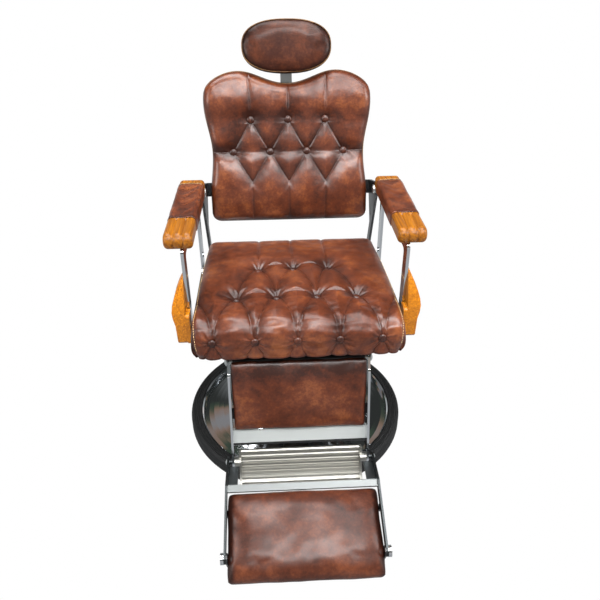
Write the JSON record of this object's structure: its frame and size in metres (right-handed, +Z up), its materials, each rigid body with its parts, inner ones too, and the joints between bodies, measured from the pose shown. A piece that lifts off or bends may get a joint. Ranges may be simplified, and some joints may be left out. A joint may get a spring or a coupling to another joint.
{
  "type": "hydraulic barber chair",
  "caption": "Reclining barber chair on a hydraulic column, with tufted seat and back, sliding headrest, wooden arms and a linked leg rest with a flip-over foot pad.",
  "frame": {"origin": "on the floor, on the swivel axis", "axes": "+X to the sitter's left, +Y to the rear, +Z up along the swivel axis"},
  "size_m": [0.6799, 1.1367, 1.1521],
  "materials": {
    "rubber": "moulded matt black rubber",
    "chrome": "bright chromed steel",
    "black_paint": "black satin paint",
    "steel": "satin steel",
    "bronze": "turned bronze",
    "plywood": "raw plywood",
    "black_vinyl": "black grained vinyl",
    "black_plastic": "moulded black plastic",
    "leather": "glossy mottled brown upholstery leather",
    "wood": "glossy amber varnish",
    "cast_aluminium": "ribbed casting, polished"
  },
  "bodies": {
    "base": {"base_plate": "black_paint", "base_ring": "rubber", "base_dish": "chrome", "pump_barrel": "black_paint", "gland_ring": "chrome", "flange_bolts": "steel", "pump_block": "black_paint"},
    "pedal": {"pedal_arm": "chrome", "pedal_pad": "rubber"},
    "ram": {"ram_tube": "chrome", "thrust_washer": "bronze"},
    "seat": {"swivel_hub": "black_paint", "seat_frame": "black_paint", "leg_hinge_shaft": "steel", "seat_board": "plywood", "seat_cushion": "leather", "seat_buttons": "leather", "arm_frame_left": "chrome", "arm_frame_right": "chrome", "arm_wood_left": "wood", "arm_wood_right": "wood", "arm_pad_left": "leather", "arm_pad_right": "leather", "side_board_left": "wood", "side_board_right": "wood", "frame_bolts": "steel", "recline_bolts": "steel", "gas_cylinder": "black_paint", "lever_bracket": "black_paint"},
    "recline_lever": {"recline_shaft": "chrome", "recline_grip": "rubber"},
    "back": {"back_cushion": "leather", "back_board": "black_vinyl", "back_buttons": "leather", "back_rail": "black_paint", "side_levers": "black_paint", "lever_crossbar": "chrome", "headrest_clamp": "black_paint", "headrest_knob": "black_plastic"},
    "lock_rod": {"gas_rod": "chrome"},
    "links": {"link_rods": "chrome"},
    "headrest_slider": {"headrest_bar": "steel"},
    "headrest": {"headrest_cushion": "leather", "headrest_shell": "black_vinyl", "headrest_yoke": "steel"},
    "leg_rest": {"leg_bars": "chrome", "calf_pad": "leather", "calf_board": "black_vinyl", "shin_plate": "steel", "tread_casting": "cast_aluminium", "foot_arms": "chrome", "foot_crossbar": "chrome", "link_brackets": "black_paint", "leg_bolts": "steel", "foot_caps": "chrome"},
    "foot_pad": {"foot_cushion": "leather", "foot_pan": "chrome"}
  },
  "joints": [
    {"name": "lift", "type": "slide", "parent": "base", "child": "ram", "axis": [0, 0, 1], "range_m": [0, 0.15]},
    {"name": "pump_pedal", "type": "hinge", "parent": "base", "child": "pedal", "pos_m": [0, 0.097, 0.12], "axis": [-1, 0, 0], "range_deg": [0, 13], "stiffness_Nm_per_rad": 20, "springref_deg": -20.05},
    {"name": "swivel", "type": "hinge", "parent": "ram", "child": "seat", "pos_m": [0, 0, 0.4], "axis": [0, 0, 1], "continuous": true},
    {"name": "recline", "type": "hinge", "parent": "seat", "child": "back", "pos_m": [0, 0.255, 0.678], "axis": [-1, 0, 0], "range_deg": [0, 42]},
    {"name": "leg_swing", "type": "hinge", "parent": "seat", "child": "leg_rest", "pos_m": [0, -0.275, 0.425], "axis": [-1, 0, 0], "range_deg": [0, 42]},
    {"name": "link_turn", "type": "hinge", "parent": "back", "child": "links", "pos_m": [0, 0.355, 0.413], "axis": [-1, 0, 0], "range_deg": [-42, 0]},
    {"name": "lock_travel", "type": "slide", "parent": "seat", "child": "lock_rod", "axis": [0, -1, 0], "range_m": [0, 0.204]},
    {"name": "recline_pull", "type": "hinge", "parent": "seat", "child": "recline_lever", "pos_m": [0.2, 0.08, 0.39], "axis": [-1, 0, 0], "range_deg": [0, 18], "stiffness_Nm_per_rad": 3, "springref_deg": -28.65},
    {"name": "headrest_height", "type": "slide", "parent": "back", "child": "headrest_slider", "axis": [0, 0.2419, 0.9703], "range_m": [0, 0.07]},
    {"name": "headrest_tilt", "type": "hinge", "parent": "headrest_slider", "child": "headrest", "pos_m": [0, 0.44204, 1.06833], "axis": [1, 0, 0], "range_deg": [-20, 25]},
    {"name": "foot_flip", "type": "hinge", "parent": "leg_rest", "child": "foot_pad", "pos_m": [0, -0.607, 0.085], "axis": [1, 0, 0], "range_deg": [0, 150]}
  ],
  "couplings": [
    {"joint": "leg_swing", "follows": "recline", "ratio": 1},
    {"joint": "link_turn", "follows": "recline", "ratio": -1},
    {"joint": "lock_travel", "follows": "recline", "m_per_rad": 0.2775}
  ]
}
